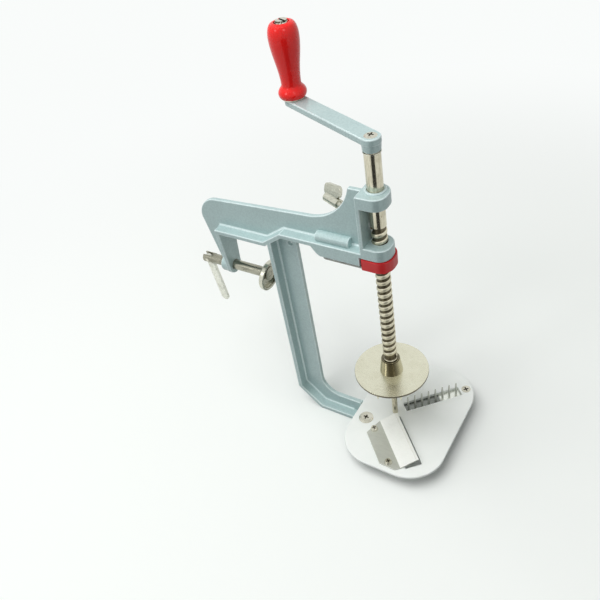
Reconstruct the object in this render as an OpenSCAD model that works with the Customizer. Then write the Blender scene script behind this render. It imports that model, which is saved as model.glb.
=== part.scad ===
// Hand-cranked rotary slicer with a table clamp, standing upright on its lower arm.
// Origin on the spindle axis, in the face that it stands on; +Z up, the clamp lies towards -X.

/* [Frame casting] */
// Spindle axis to the outer face of the post
post_x = 96; // [84:0.5:112]
// Spindle axis to the outer face of the clamp leg
leg_x = 150; // [140:0.5:175]
// Width of every flange of the T-section
flange_w = 22; // [20:0.5:28]
// Spindle axis to the middle plane of the casting, which lies in front of it
cast_y = 3.2; // [0:0.1:4]
// Thickness of web and flanges
wall = 4; // [3:0.25:5.5]
// Thickness of the foot flange
foot_t = 4.5; // [3.5:0.25:7]
// Depth of the post, from its outer face to the edge of its rib
post_depth = 23; // [16:0.5:30]
// Height of the lower arm, rib included
low_arm_h = 16.5; // [15:0.25:24]
// Length of the chamfer at the outer bend
bend = 22; // [12:0.5:30]
// Radius of the inner bend of the rib
inner_bend_r = 18; // [8:0.5:30]
// Height of the shelf at the spindle end
shelf_z = 208; // [190:0.5:230]
// Drop of the shelf towards the clamp
shelf_drop = 12.4; // [6:0.2:18]
// Length along the arm of the slope between the two shelf levels
jog_run = 18; // [12:0.5:26]
// Height of the web over the shelf at the clamp end
web_h_out = 25; // [20:0.5:30]
// Height of the web over the shelf where it sweeps up to the column
web_h_in = 17.4; // [12:0.2:22]
// Radius of the nose at the clamp end of the web
nose_r = 20; // [12:0.5:24]
// Radius of the sweep up to the column
sweep_r = 40.5; // [33:0.5:60]
// Flat length on top of the web beside the column
sweep_flat = 9.8; // [3:0.2:14]
// Hole in the rib near the top of the post
rib_hole_d = 4.2; // [2:0.1:6]
// Bar on the shelf, its radius
bar_r = 4.6; // [3:0.1:7]
// Bar on the shelf, its length
bar_l = 29; // [16:0.5:36]

/* [Bearing lugs] */
// Diameter of the spindle
spindle_d = 12; // [9:0.1:14]
// Spindle axis to the back face of the column
column_back = 10; // [9.5:0.1:14]
// Spindle axis to the nose of the lugs
lug_nose = 11.5; // [10:0.25:18]
// Spindle axis to the far side of the lugs
lug_back = 8.5; // [8:0.25:12]
// Corner radius of the lugs' nose
lug_r = 10; // [4:0.25:11]
// Thickness of each lug
lug_t = 10; // [6:0.25:14]
// Lower lug's top over the shelf
lug_rise = 5.5; // [2:0.25:8]
// From the lower lug's top to the upper lug's top
lug_span = 44; // [36:0.5:60]
// Height of the raised rim round the upper bore
rim_h = 1; // [0.4:0.1:2]
// Width of the raised rim
rim_w = 2.2; // [1:0.1:3]

/* [Feed] */
// Pitch of the feed thread
pitch = 6.5; // [4.5:0.1:9]
// Depth of the feed thread
thread_depth = 1.3; // [0.6:0.05:2]
// Length of thread above the lower lug
thread_over = 13.5; // [4:0.5:24]
// How far the spindle can go down from the pose drawn
down_travel = 28; // [10:0.5:34]

/* [Crank] */
// Radius from the spindle to the grip
crank_r = 90; // [70:0.5:120]
// Angle of the crank about the spindle
crank_angle = 156; // [0:1:360]
// Width of the crank arm
crank_w = 14.2; // [11:0.2:20]
// Thickness of the crank arm
crank_t = 5.25; // [4:0.25:10]
// Height of the crank's boss
boss_h = 10.5; // [10:0.25:18]
// Diameter of the crank's boss at its foot
boss_d = 13; // [12.8:0.1:20]
// Thickness of the washer under the boss
washer_t = 1; // [0.6:0.1:2]
// Largest diameter of the grip
grip_d = 22.4; // [18:0.2:34]
// Diameter of the grip's neck
grip_neck_d = 14.8; // [12:0.2:18]
// Diameter of the bead at the grip's foot
grip_bead_d = 21.4; // [16:0.2:26]
// Length of the grip
grip_l = 54; // [45:0.5:90]
// Diameter of the grip's bolt
grip_bolt_d = 6; // [4:0.1:7]

/* [Pusher] */
// Diameter of the pusher disc
disc_d = 64; // [45:0.5:80]
// Thickness of the pusher disc
disc_t = 2; // [1.2:0.1:4]
// From the plate's top to the disc's underside in the pose drawn
work_gap = 56.8; // [48:0.2:75]
// Height of the hub
hub_h = 14.7; // [8:0.1:22]
// Diameter of the hub at the disc
hub_foot_d = 20; // [18:0.2:30]
// Diameter of the hub at its top
hub_top_d = 16; // [15:0.2:24]
// Number of prongs
prong_count = 8; // [3:1:12]
// Diameter of the circle of prongs
prong_circle_d = 51; // [30:0.5:56]
// Diameter of a prong
prong_d = 2.2; // [1.5:0.1:4]
// Length of a prong
prong_l = 11.5; // [5:0.25:14]

/* [Blade plate] */
// Spindle axis to the left edge, at the lower arm
plate_left = 33; // [30:0.5:45]
// Spindle axis to the right edge
plate_right = 59.5; // [55:0.5:75]
// Spindle axis to the front edge
plate_front = 62; // [58:0.5:80]
// Spindle axis to the back edge
plate_back = 68; // [60:0.5:85]
// Corner radius
plate_r = 32; // [10:0.5:40]
// Thickness
plate_t = 3; // [2:0.1:5]
// Height of its seat over the foot's underside
seat_z = 12.7; // [12:0.1:20]
// Spindle axis back to the two fixing screws
fix_x = 21.3; // [19:0.1:25]
// Half the spread of the two fixing screws
fix_y = 17.3; // [12:0.1:22]
// Diameter of the fixing screws
fix_d = 4.5; // [3:0.1:6]

/* [Slicing blade] */
// Thickness of the blade's sheet
blade_t = 1.2; // [0.6:0.1:2]
// Height of the cutting edge over the plate
blade_rise = 5; // [2:0.1:8]
// Width of the ramp, from the bend to the cutting edge
ramp_w = 17; // [10:0.25:20]
// Width of the flat part that is screwed down
land_w = 15.3; // [12:0.1:18]
// Spindle axis to the blade's inner end
blade_in = 6; // [5:0.25:12]
// Plate corner to the blade's outer end
blade_margin = 12.7; // [10:0.1:24]
// Diameter of the blade's screws
blade_screw_d = 3.5; // [2.5:0.1:4.5]

/* [Scoring comb] */
// Number of teeth
tooth_count = 8; // [3:1:11]
// Height of the teeth over the plate
tooth_h = 12.5; // [6:0.25:15]
// Thickness of a tooth
tooth_t = 1.2; // [0.8:0.1:2]
// Spindle axis to the inner end of the comb's slot
comb_in = 10; // [8:0.25:16]
// Width of the comb's slot
comb_slot_w = 10.2; // [6:0.2:11]
// Offset of the slot from the radius
comb_shift = 1.9; // [0:0.1:3]
// Plate corner to the comb's screw
comb_margin = 6.7; // [6:0.1:16]
// Thickness of the comb's bar
comb_bar_t = 1.5; // [1:0.1:2.5]

/* [Centre tube] */
// Outer diameter
corer_d = 5; // [4.6:0.1:8]
// Height over the plate
corer_h = 22; // [8:0.5:24]

/* [Release lever] */
// Depth of the block under the shelf
block_h = 8; // [6:0.25:12]
// Spindle axis to the lever's pivot
pivot_x = 40; // [34:0.5:48]
// Thickness of the lever's strip
strip_t = 1.6; // [1:0.1:2.5]
// Front of the cap past the flanges
cap_wall = 0.3; // [0.2:0.1:3]
// Nose of the cap past the lugs
cap_nose = 1; // [0.5:0.1:4]
// Diameter of the pivot screw
pivot_d = 6; // [4:0.1:8]
// Swing of the lever, degrees
swing = 4.2; // [2:0.1:5]
// Wall of the half nut
half_nut_wall = 2.2; // [1.5:0.1:2.8]

/* [Table clamp] */
// Low shelf to the axis of the clamp screw
clamp_drop = 44; // [38:0.5:60]
// Radius of the leg's round end
leg_r = 8; // [6.5:0.25:10]
// Diameter of the clamp screw
clamp_d = 9; // [7:0.1:12]
// Post to pad in the pose drawn
table_gap = 12.2; // [8:0.2:24]
// Length of the threaded boss on the leg
clamp_boss_l = 7; // [4:0.25:8]
// Diameter of the threaded boss
clamp_boss_d = 15; // [13:0.5:20]
// Diameter of the pad
pad_d = 28; // [22:0.5:36]
// Droop of the loose pad in the pose drawn, degrees
pad_droop = 7; // [0:0.5:7]
// Leg to the middle of the handle's rivet in the pose drawn
handle_out = 26; // [25:0.25:40]
// Length of the folding handle
handle_l = 60; // [40:0.5:80]
// Width of the folding handle
handle_w = 8; // [6:0.2:9]
// Thickness of the folding handle
handle_t = 3; // [2:0.1:4]
// Turn of the clamp screw in the pose drawn
handle_turn = 6; // [-20:0.5:20]

/* [Lock screw] */
// Angle of the lock screw about the spindle
lock_angle = 156.5; // [150:0.5:165]
// Height of its axis over the lower lug
lock_rise = 10; // [9.5:0.25:24]
// Diameter of its shank
lock_d = 6; // [4:0.1:7]
// Spindle axis to the middle of the wing
lock_reach = 57; // [48:0.5:62]
// Turn of the lock screw in the pose drawn, degrees
wing_turn = 20; // [0:1:40]
// Radius of the wing's corners
wing_r = 3.5; // [2:0.1:4.5]
// Thickness of the wing
wing_t = 3; // [2:0.1:4]

/* [Hidden] */
$fn = 64;

// Clearances: a running fit, a fit inside one rigid group, and room between pieces that pass
fit = 0.05;
snug = 0.02;
room = 0.3;
cut = 1;

// Heights, from the foot up
plate_z = seat_z + plate_t;
disc_z = plate_z + work_gap;
hub_z = disc_z + disc_t;
hub_top_z = hub_z + hub_h;
low_z = shelf_z - shelf_drop;
web_z = shelf_z + web_h_in;
lower_lug_z = shelf_z + lug_rise;
upper_lug_z = lower_lug_z + lug_span;
stop_gap = 0.5;
crank_z = upper_lug_z + rim_h + down_travel + stop_gap + washer_t + room;
crank_top_z = crank_z + boss_h;
clamp_z = low_z - clamp_drop;
lock_z = lower_lug_z + lock_rise;

// Frame
spindle_r = spindle_d / 2;
jog_x0 = post_x + wall;
jog_x1 = jog_x0 - jog_run;
jog_shift = wall * tan(atan(shelf_drop / jog_run) / 2);
bend_shift = tan(22.5);
flange_front = cast_y + flange_w / 2;
nose_x = leg_x - wall / 2;
nose_z = low_z + web_h_out - nose_r;
sweep_x = column_back + sweep_flat + sqrt(pow(sweep_r, 2) - pow(web_z + sweep_r - upper_lug_z, 2));
column_front = spindle_r + 0.8;
bar_gap = 11;
bar_lift = 2.5;
foot_in = 12;
foot_half = fix_y + 8;
tongue_half = 8;
fix_boss_d = 14;
plate_gap = 0.5;
block_z = shelf_z - wall - block_h;
block_end = column_back + 1;
block_start = 55;
block_slope = 6;

// Spindle and crank
tenon_d = 9;
washer_d = max(crank_w, spindle_d + 2);
tail_d = 8;
core_r = spindle_r - thread_depth;
thread_z0 = hub_top_z + 0.5;
thread_z1 = lower_lug_z + thread_over;
thread_steps = 12;
crest_w = 0.5 * pitch;
root_w = 0.68 * pitch;
screw_head_d = 9.4;
screw_head_h = 2;
screw_dome = 0.8;
core_screw_d = 4;
core_screw_l = 8;
grip_washer_t = 1;
grip_z = crank_top_z + grip_washer_t + room;
grip_head_d = 10.5;
grip_head_h = 3;
grip_head_sink = 2;
grip_steps = 24;

// Blade plate group
blade_angle = -45;
comb_angle = 45;
plate_corner_front = (plate_right + plate_front - 2 * plate_r) / sqrt(2) + plate_r;
plate_corner_back = (plate_right + plate_back - 2 * plate_r) / sqrt(2) + plate_r;
blade_out = plate_corner_front - blade_margin;
blade_notch = 8;
slot_lip = 2;
slot_v = 0.75 * ramp_w;
blade_screw_v = ramp_w + land_w / 2;
blade_screw_in = 7;
blade_screw_out = 9;
pan_head_d = 7;
pan_head_h = 2.4;
comb_screw_u = plate_corner_back - comb_margin;
comb_out = comb_screw_u - 6;
comb_bar_w = comb_slot_w + 3.6;
tooth_first = comb_in + 3.4;
tooth_pitch = (comb_out - tooth_first - 4) / (tooth_count - 1);
tooth_w = 2.4;
cup_d = 13.5;
cup_h = 1.2;
fix_head_d = 9;
fix_reach = 8;
comb_screw_d = 3.5;
comb_head_d = 8.5;
comb_head_l = (comb_head_d - comb_screw_d) / 2;
corer_floor = 1.2;
corer_stem_d = 4;
corer_bore_d = corer_d - 1.6;
corer_nut_w = 7;
corer_nut_h = 3;

// Release lever
strip_gap = 1;
strip_z = block_z - strip_gap - strip_t;
cap_top_z = lower_lug_z - lug_t - 0.5;
cap_back = column_back - 0.5;
cap_edge = flange_front + cap_wall;
cap_front = lug_nose + cap_nose;
cap_slot_r = spindle_r + 0.9;
cap_slot_l = pivot_x * sin(swing) + 0.3;
half_nut_r = spindle_r + room;
cap_rear = half_nut_r + half_nut_wall + 2;
strip_edge = flange_front - 1.2;
strip_end = column_back + 0.6;
strip_back = pivot_x + 6;
arm_w = 7;
arm_front = spindle_r + 3.4;
rivet_d = 2.2;
rivet_x = spindle_r + 0.3;
rivet_y = strip_edge - arm_w / 2 + 0.2;
rivet_head_d = 3.8;
rivet_head_h = 1.2;
lever_head_d = 11;
lever_head_h = 2.6;
lever_reach = 7;

// Clamp
pad_face_x = post_x + table_gap;
pad_rim = 2.9;
pad_rim_w = 2.2;
pad_web = 1.6;
pad_bevel = 1.1;
pad_hang = 1.4;
pad_x = pad_face_x + pad_rim + pad_web / 2;
stem_d = 5;
pad_hole_d = stem_d + 2 * (pad_hang + room);
ring_t = 1;
ring_d = pad_hole_d + 2 * pad_hang + 1;
ring_x = pad_web / 2 - pad_x + (ring_d / 2 + pad_hang) * sin(pad_droop) + room;
shoulder_x = -pad_x - pad_web / 2 - (clamp_d / 2 + pad_hang) * sin(pad_droop) - room;
handle_x = leg_x + handle_out;
fork_d = 9.6;
fork_in = 6;
fork_out = 4.2;
fork_slot = handle_t + 2 * room;
handle_pin_d = 4;

// Lock screw
plug_l = 6;
plug_gap = 0.6;
lock_tip = spindle_r + plug_gap + plug_l + room;
lock_boss_d = 13;
lock_boss_in = 8.5;
lock_boss_out = 24;
wing_hub_d = 8;
wing_half = 9.5;
wing_low = 3;
wing_h = 9.5;
wing_lean = 8;
wing_hub_in = 10;
wing_hub_out = 6.5;

// Height of the middle of the sloping shelf at a place along the arm
function jog_mid(x) = low_z - wall / 2 + (x + jog_x0) * shelf_drop / jog_run;

// Radius of the grip at a share of its length: foot, bead, neck, belly, round top
function grip_radius(t) =
    t < 0.16 ? grip_neck_d / 2 + (grip_bead_d - grip_neck_d) / 2 * sin(180 * (0.25 + 0.75 * t / 0.16))
    : t < 0.82 ? grip_neck_d / 2 + (grip_d - grip_neck_d) / 2 * (0.5 - 0.5 * cos(180 * (t - 0.16) / 0.66))
    : grip_head_d / 2 + 1.4
      + (grip_d / 2 - grip_head_d / 2 - 1.4) * sqrt(max(0, 1 - pow((t - 0.82) / 0.18, 2)));

// One ring of the helical ridge: root, crest, crest, root
function ridge_ring(i, z, root_r) =
    let (a = 360 * i / thread_steps)
    [for (p = [[root_r, -root_w], [spindle_r, -crest_w], [spindle_r, crest_w], [root_r, root_w]])
        [p[0] * cos(a), p[0] * sin(a), z + p[1] / 2 + pitch * i / thread_steps]];

// Outline in the XZ plane, drawn to a width centred on the casting's middle plane
module across(w) {
    translate([0, w / 2 - cast_y, 0]) rotate([90, 0, 0]) linear_extrude(w) children();
}

// Outline in the YZ plane about the casting's middle plane, drawn from x0 towards +X
module along(x0, l) {
    translate([x0, -cast_y, 0]) rotate([90, 0, 90]) linear_extrude(l) children();
}

// Rod along +X from x0
module rod_x(x0, l, d) {
    translate([x0, 0, 0]) rotate([0, 90, 0]) cylinder(d = d, h = l);
}

// Rectangle with round corners from corner a to corner b
module rounded(a, b, r) {
    translate([a[0] + r, a[1]]) square([b[0] - a[0] - 2 * r, b[1] - a[1]]);
    translate([a[0], a[1] + r]) square([b[0] - a[0], b[1] - a[1] - 2 * r]);
    for (x = [a[0] + r, b[0] - r], y = [a[1] + r, b[1] - r]) translate([x, y]) circle(r);
}

// Outline that is square at the back and round at the nose, from the front edge to the rear edge
module nosed(back, nose, front, rear, r) {
    translate([-back, -front]) square([back + nose - r, front + rear]);
    translate([-back, r - front]) square([back + nose, front + rear - 2 * r]);
    for (y = [r - front, rear - r]) translate([nose - r, y]) circle(r);
}

// Bar with two round ends
module stadium(l, w) {
    translate([-l / 2, -w / 2]) square([l, w]);
    for (x = [-l / 2, l / 2]) translate([x, 0]) circle(d = w);
}

// Cross recess, sunk from z = 0
module cross_recess(size, depth) {
    for (a = [0, 90]) rotate(a) translate([-size / 2, -size / 8, -depth])
        cube([size, size / 4, depth + cut]);
}

// Countersunk screw with its head's top at z = 0
module countersunk(head_d, d, l) {
    difference() {
        union() {
            translate([0, 0, -(head_d - d) / 2]) cylinder(d1 = d, d2 = head_d, h = (head_d - d) / 2);
            translate([0, 0, -l]) cylinder(d = d, h = l - (head_d - d) / 2);
        }
        cross_recess(0.55 * head_d, 0.14 * head_d);
    }
}

// Pan-head screw with its seat at z = 0
module pan_screw(head_d, head_h, d, l) {
    difference() {
        union() {
            cylinder(d1 = head_d, d2 = 0.72 * head_d, h = head_h);
            translate([0, 0, -l]) cylinder(d = d, h = l);
        }
        translate([0, 0, head_h]) cross_recess(0.5 * head_d, 0.4 * head_h);
    }
}

module shelf_outline() {
    polygon([
        [-leg_x, low_z - wall], [-leg_x, low_z], [-jog_x0, low_z], [-jog_x1, shelf_z],
        [-column_back, shelf_z], [-column_back, shelf_z - wall],
        [jog_shift - jog_x1, shelf_z - wall], [jog_shift - jog_x0, low_z - wall]
    ]);
}

module post_outline() {
    polygon([
        [-post_x, jog_mid(-post_x)], [-post_x, bend], [bend - post_x, 0], [-foot_in, 0], [-foot_in, foot_t],
        [bend - post_x + foot_t * bend_shift, foot_t], [wall - post_x, bend + wall * bend_shift],
        [wall - post_x, jog_mid(wall - post_x)]
    ]);
}

module rib_outline() {
    rib_x = post_depth - post_x;
    corner = [rib_x + inner_bend_r, low_arm_h + inner_bend_r];
    difference() {
        polygon([
            [wall / 2 - post_x, jog_mid(wall / 2 - post_x)], [wall / 2 - post_x, bend],
            [bend - post_x, foot_t / 2], [-foot_in, foot_t / 2], [-foot_in, seat_z],
            [-plate_left - plate_gap, seat_z], [-plate_left - plate_gap, low_arm_h],
            [rib_x, low_arm_h], [rib_x, max(shelf_z - wall / 2, jog_mid(rib_x) - shelf_drop)],
            [-jog_x1, shelf_z - wall / 2]
        ]);
        translate([rib_x - 1.5 * rib_hole_d, low_z - rib_hole_d / 2]) circle(d = rib_hole_d);
    }
    difference() {
        translate([rib_x, low_arm_h]) square(inner_bend_r);
        translate(corner) circle(inner_bend_r);
    }
}

module web_outline() {
    intersection() {
        translate([-nose_x, nose_z]) circle(nose_r);
        translate([-nose_x - nose_r, nose_z]) square(nose_r);
    }
    polygon([
        [-nose_x, low_z + web_h_out], [-sweep_x, web_z], [-column_back, web_z],
        [-column_back, shelf_z - wall / 2], [-jog_x1, shelf_z - wall / 2], [-jog_x0, low_z - wall / 2],
        [-nose_x, low_z - wall / 2], [-nose_x, clamp_z], [-leg_x - clamp_boss_l, clamp_z],
        [-nose_x - nose_r, nose_z]
    ]);
    difference() {
        translate([-sweep_x, web_z - cut]) square([sweep_x - column_back, upper_lug_z - web_z + cut]);
        translate([-sweep_x, web_z + sweep_r]) circle(sweep_r);
    }
}

module leg_outline() {
    polygon([
        [-flange_w / 2, low_z - wall / 2], [flange_w / 2, low_z - wall / 2],
        [leg_r, clamp_z], [-leg_r, clamp_z]
    ]);
    translate([0, clamp_z]) circle(leg_r);
}

module lug(z) {
    translate([0, 0, z - lug_t]) linear_extrude(lug_t)
        nosed(column_back, lug_nose, flange_front, lug_back, min(lug_r, lug_nose - 1));
}

module frame_body() {
    across(flange_w) {
        shelf_outline();
        post_outline();
        polygon([
            [-block_start, shelf_z - wall / 2], [block_slope - block_start, block_z + 2],
            [block_slope + 3 - block_start, block_z], [-block_end, block_z], [-block_end, shelf_z - wall / 2]
        ]);
    }
    across(wall) {
        rib_outline();
        web_outline();
    }
    along(-leg_x, wall) leg_outline();
    translate([0, -cast_y, clamp_z])
        rod_x(-leg_x - clamp_boss_l, clamp_boss_l + wall, clamp_boss_d);
    linear_extrude(foot_t) {
        rounded([-plate_left - 2, -foot_half], [-foot_in, foot_half], 6);
        translate([-foot_in - cut, -tongue_half]) square([foot_in + cut, 2 * tongue_half]);
        circle(tongue_half);
    }
    for (y = [-fix_y, fix_y]) translate([-fix_x, y, 0]) cylinder(d = fix_boss_d, h = seat_z);
    translate([-column_back, -flange_front, shelf_z - wall])
        cube([column_back - column_front, flange_w, upper_lug_z - shelf_z + wall]);
    lug(lower_lug_z);
    lug(upper_lug_z);
    translate([0, 0, upper_lug_z - cut]) cylinder(r = spindle_r + fit + rim_w, h = rim_h + cut);
    translate([0, -cast_y - wall, shelf_z + bar_lift])
        rod_x(-column_back - bar_gap - bar_l, bar_l, 2 * bar_r);
    rotate(lock_angle) translate([0, 0, lock_z])
        rod_x(lock_boss_in, lock_boss_out - lock_boss_in, lock_boss_d);
}

module frame() {
    color("#8fa9ae") difference() {
        frame_body();
        translate([0, 0, lower_lug_z - lug_t - cut])
            cylinder(r = spindle_r + fit, h = lug_span + lug_t + rim_h + 2 * cut);
        translate([0, -cast_y, clamp_z])
            rod_x(-leg_x - clamp_boss_l - cut, clamp_boss_l + wall + 2 * cut, clamp_d + 2 * fit);
        rotate(lock_angle) translate([0, 0, lock_z]) rod_x(0, lock_boss_out + cut, lock_d + 2 * fit);
        for (y = [-fix_y, fix_y]) translate([-fix_x, y, seat_z - fix_reach - cut])
            cylinder(d = fix_d + 2 * snug, h = fix_reach + 2 * cut);
        translate([-pivot_x, -cast_y, block_z - cut])
            cylinder(d = pivot_d + 2 * snug, h = lever_reach + cut + room);
    }
}

module thread_ridge() {
    root_r = (core_r + snug) / cos(180 / thread_steps);
    start = thread_z0 + root_w / 2 + room;
    rings = floor((thread_z1 - thread_z0 - root_w - 2 * room) / pitch * thread_steps);
    sides = 4;
    points = [for (i = [0 : rings]) each ridge_ring(i, start, root_r)];
    walls = [for (i = [0 : rings - 1], k = [0 : sides - 1])
        let (a = i * sides + k, b = i * sides + (k + 1) % sides)
        each [[a, b, b + sides], [a, b + sides, a + sides]]];
    last = rings * sides;
    ends = [[0, 2, 1], [0, 3, 2], [last, last + 1, last + 2], [last, last + 2, last + 3]];
    polyhedron(points, concat(walls, ends));
}

module spindle() {
    color("#cfccb4") {
        difference() {
            union() {
                translate([0, 0, disc_z]) cylinder(d = tail_d, h = disc_t);
                translate([0, 0, hub_z]) cylinder(d = spindle_d, h = thread_z0 - hub_z);
                translate([0, 0, thread_z0]) cylinder(r = core_r, h = thread_z1 - thread_z0);
                translate([0, 0, thread_z1]) cylinder(d = spindle_d, h = crank_z - thread_z1);
                translate([0, 0, crank_z]) cylinder(d = tenon_d, h = boss_h - screw_head_h);
            }
            translate([0, 0, disc_z - cut])
                cylinder(d = core_screw_d + 2 * snug, h = core_screw_l + cut + room);
            translate([0, 0, crank_top_z - screw_head_h - core_screw_l - room])
                cylinder(d = core_screw_d + 2 * snug, h = core_screw_l + room + cut);
        }
        thread_ridge();
    }
}

module crank_arm() {
    color("#8fa9ae") difference() {
        union() {
            translate([0, 0, crank_z]) cylinder(d1 = boss_d, d2 = crank_w - 0.4, h = boss_h - crank_t);
            rotate(crank_angle) translate([crank_r / 2, 0, crank_top_z - crank_t])
                linear_extrude(crank_t) stadium(crank_r, crank_w);
        }
        translate([0, 0, crank_z - cut]) cylinder(d = tenon_d + 2 * snug, h = boss_h + 2 * cut);
        translate([0, 0, crank_top_z - screw_head_h])
            cylinder(d = screw_head_d + 2 * snug, h = screw_head_h + cut);
        rotate(crank_angle) translate([crank_r, 0, crank_top_z - crank_t - cut])
            cylinder(d = grip_bolt_d + 2 * snug, h = crank_t + 2 * cut);
    }
}

module crank_screw() {
    color("#d9d6c6") translate([0, 0, crank_top_z]) {
        translate([0, 0, -screw_head_h]) cylinder(d = screw_head_d, h = screw_head_h);
        difference() {
            cylinder(d1 = screw_head_d, d2 = 0.6 * screw_head_d, h = screw_dome);
            translate([0, 0, screw_dome]) cross_recess(0.5 * screw_head_d, 0.6 * screw_dome);
        }
        translate([0, 0, -screw_head_h - core_screw_l]) cylinder(d = core_screw_d, h = core_screw_l);
    }
}

module crank_washer() {
    color("#e3e0d2") translate([0, 0, crank_z - room - washer_t]) difference() {
        cylinder(d = washer_d, h = washer_t);
        translate([0, 0, -cut]) cylinder(r = spindle_r + fit, h = washer_t + 2 * cut);
    }
}

module at_grip(z) {
    rotate(crank_angle) translate([crank_r, 0, z]) children();
}

module grip() {
    outline = [for (i = [0 : grip_steps]) let (t = i / grip_steps) [grip_radius(t), grip_l * t]];
    color("#c8120e") at_grip(grip_z) difference() {
        rotate_extrude() polygon(concat([[0, 0]], outline, [[0, grip_l]]));
        translate([0, 0, -cut]) cylinder(d = grip_bolt_d + 2 * fit, h = grip_l + 2 * cut);
        translate([0, 0, grip_l - grip_head_sink])
            cylinder(d = grip_head_d + 2 * room, h = grip_head_sink + cut);
    }
}

module grip_bolt() {
    color("#d9d6c6") at_grip(crank_top_z - crank_t) {
        head_z = grip_z + grip_l - grip_head_sink + room - crank_top_z + crank_t;
        cylinder(d = grip_bolt_d, h = head_z);
        difference() {
            translate([0, 0, head_z]) cylinder(d1 = grip_head_d, d2 = 0.8 * grip_head_d, h = grip_head_h);
            translate([-grip_head_d / 2, -grip_head_d / 12, head_z + 0.6 * grip_head_h])
                cube([grip_head_d, grip_head_d / 6, grip_head_h]);
        }
    }
}

module grip_washer() {
    color("#e3e0d2") at_grip(crank_top_z) difference() {
        cylinder(d = grip_bead_d - 4, h = grip_washer_t);
        translate([0, 0, -cut]) cylinder(d = grip_bolt_d + 2 * snug, h = grip_washer_t + 2 * cut);
    }
}

module pusher_disc() {
    color("#d2cfba") translate([0, 0, disc_z]) difference() {
        cylinder(d = disc_d, h = disc_t);
        translate([0, 0, -cut]) cylinder(d = tail_d + 2 * snug, h = disc_t + 2 * cut);
    }
}

module disc_hub() {
    lip_h = 1;
    color("#d2cfba") translate([0, 0, hub_z]) difference() {
        union() {
            cylinder(d1 = hub_foot_d, d2 = hub_top_d, h = hub_h - lip_h);
            translate([0, 0, hub_h - lip_h]) cylinder(d = hub_top_d - 1.2, h = lip_h);
        }
        translate([0, 0, -cut]) cylinder(r = spindle_r + snug, h = hub_h + 2 * cut);
    }
}

module disc_screw() {
    head_h = 2.4;
    color("#d9d6c6") translate([0, 0, disc_z]) {
        difference() {
            translate([0, 0, -head_h]) cylinder(d1 = tail_d + 3, d2 = tail_d + 5, h = head_h);
            translate([0, 0, -head_h]) mirror([0, 0, 1]) cross_recess(tail_d * 0.7, 1.2);
        }
        cylinder(d = core_screw_d, h = core_screw_l);
    }
}

module prongs() {
    tip_l = 0.35 * prong_l;
    color("#d2cfba") for (i = [0 : prong_count - 1])
        rotate(-3 + 360 * i / prong_count) translate([prong_circle_d / 2, 0, disc_z - prong_l]) {
            cylinder(d1 = 0.2 * prong_d, d2 = prong_d, h = tip_l);
            translate([0, 0, tip_l]) cylinder(d = prong_d, h = prong_l - tip_l);
        }
}

// Places on the plate: the blade runs along +X of blade_frame, the comb along +X of comb_frame
module blade_frame(z) {
    rotate(blade_angle) translate([0, 0, z]) children();
}

module comb_frame(z) {
    rotate(comb_angle) translate([0, comb_shift, z]) children();
}

module at_blade_screws(z) {
    for (u = [blade_in + blade_screw_in, blade_out - blade_screw_out])
        blade_frame(z) translate([u, -blade_screw_v, 0]) children();
}

module at_fix_screws(z) {
    for (y = [-fix_y, fix_y]) translate([-fix_x, y, z]) children();
}

// Sink for the heads of the fixing screws, from the plate's top up through their cups
module fix_sink() {
    head_l = (fix_head_d - fix_d) / 2;
    translate([0, 0, cup_h - head_l - snug])
        cylinder(d1 = fix_d + 2 * snug, d2 = fix_head_d + 4 * snug, h = head_l + snug);
}

module blade_plate() {
    color("#ecf0ec") difference() {
        translate([0, 0, seat_z]) linear_extrude(plate_t)
            rounded([-plate_left, -plate_front], [plate_right, plate_back], plate_r);
        blade_frame(seat_z - cut) translate([blade_in + 1, -slot_v, 0])
            cube([blade_out - blade_in + 0.5, slot_v + slot_lip, plate_t + 2 * cut]);
        comb_frame(seat_z - cut) translate([comb_in, -comb_slot_w / 2, 0])
            cube([comb_out - comb_in, comb_slot_w, plate_t + 2 * cut]);
        at_blade_screws(seat_z - cut) cylinder(d = blade_screw_d + 2 * snug, h = plate_t + 2 * cut);
        at_fix_screws(seat_z - cut) cylinder(d = fix_d + 2 * snug, h = plate_t + 2 * cut);
        at_fix_screws(plate_z) fix_sink();
        comb_frame(plate_z) translate([comb_screw_u, 0, 0]) {
            translate([0, 0, -comb_head_l - snug])
                cylinder(d1 = comb_screw_d + 2 * snug, d2 = comb_head_d + 4 * snug, h = comb_head_l + snug);
            translate([0, 0, -plate_t - cut]) cylinder(d = comb_screw_d + 2 * snug, h = plate_t + cut);
        }
        translate([0, 0, seat_z - cut]) cylinder(d = corer_stem_d + 2 * snug, h = plate_t + 2 * cut);
    }
}

module plate_screws() {
    color("#d9d6c6") at_fix_screws(plate_z + cup_h)
        countersunk(fix_head_d, fix_d, cup_h + plate_t + fix_reach);
}

module screw_cups() {
    color("#dedbcf") at_fix_screws(plate_z) difference() {
        cylinder(d1 = cup_d, d2 = fix_head_d + 1, h = cup_h);
        fix_sink();
        translate([0, 0, -cut]) cylinder(d = fix_d + 2 * snug, h = cup_h + cut);
    }
}

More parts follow.
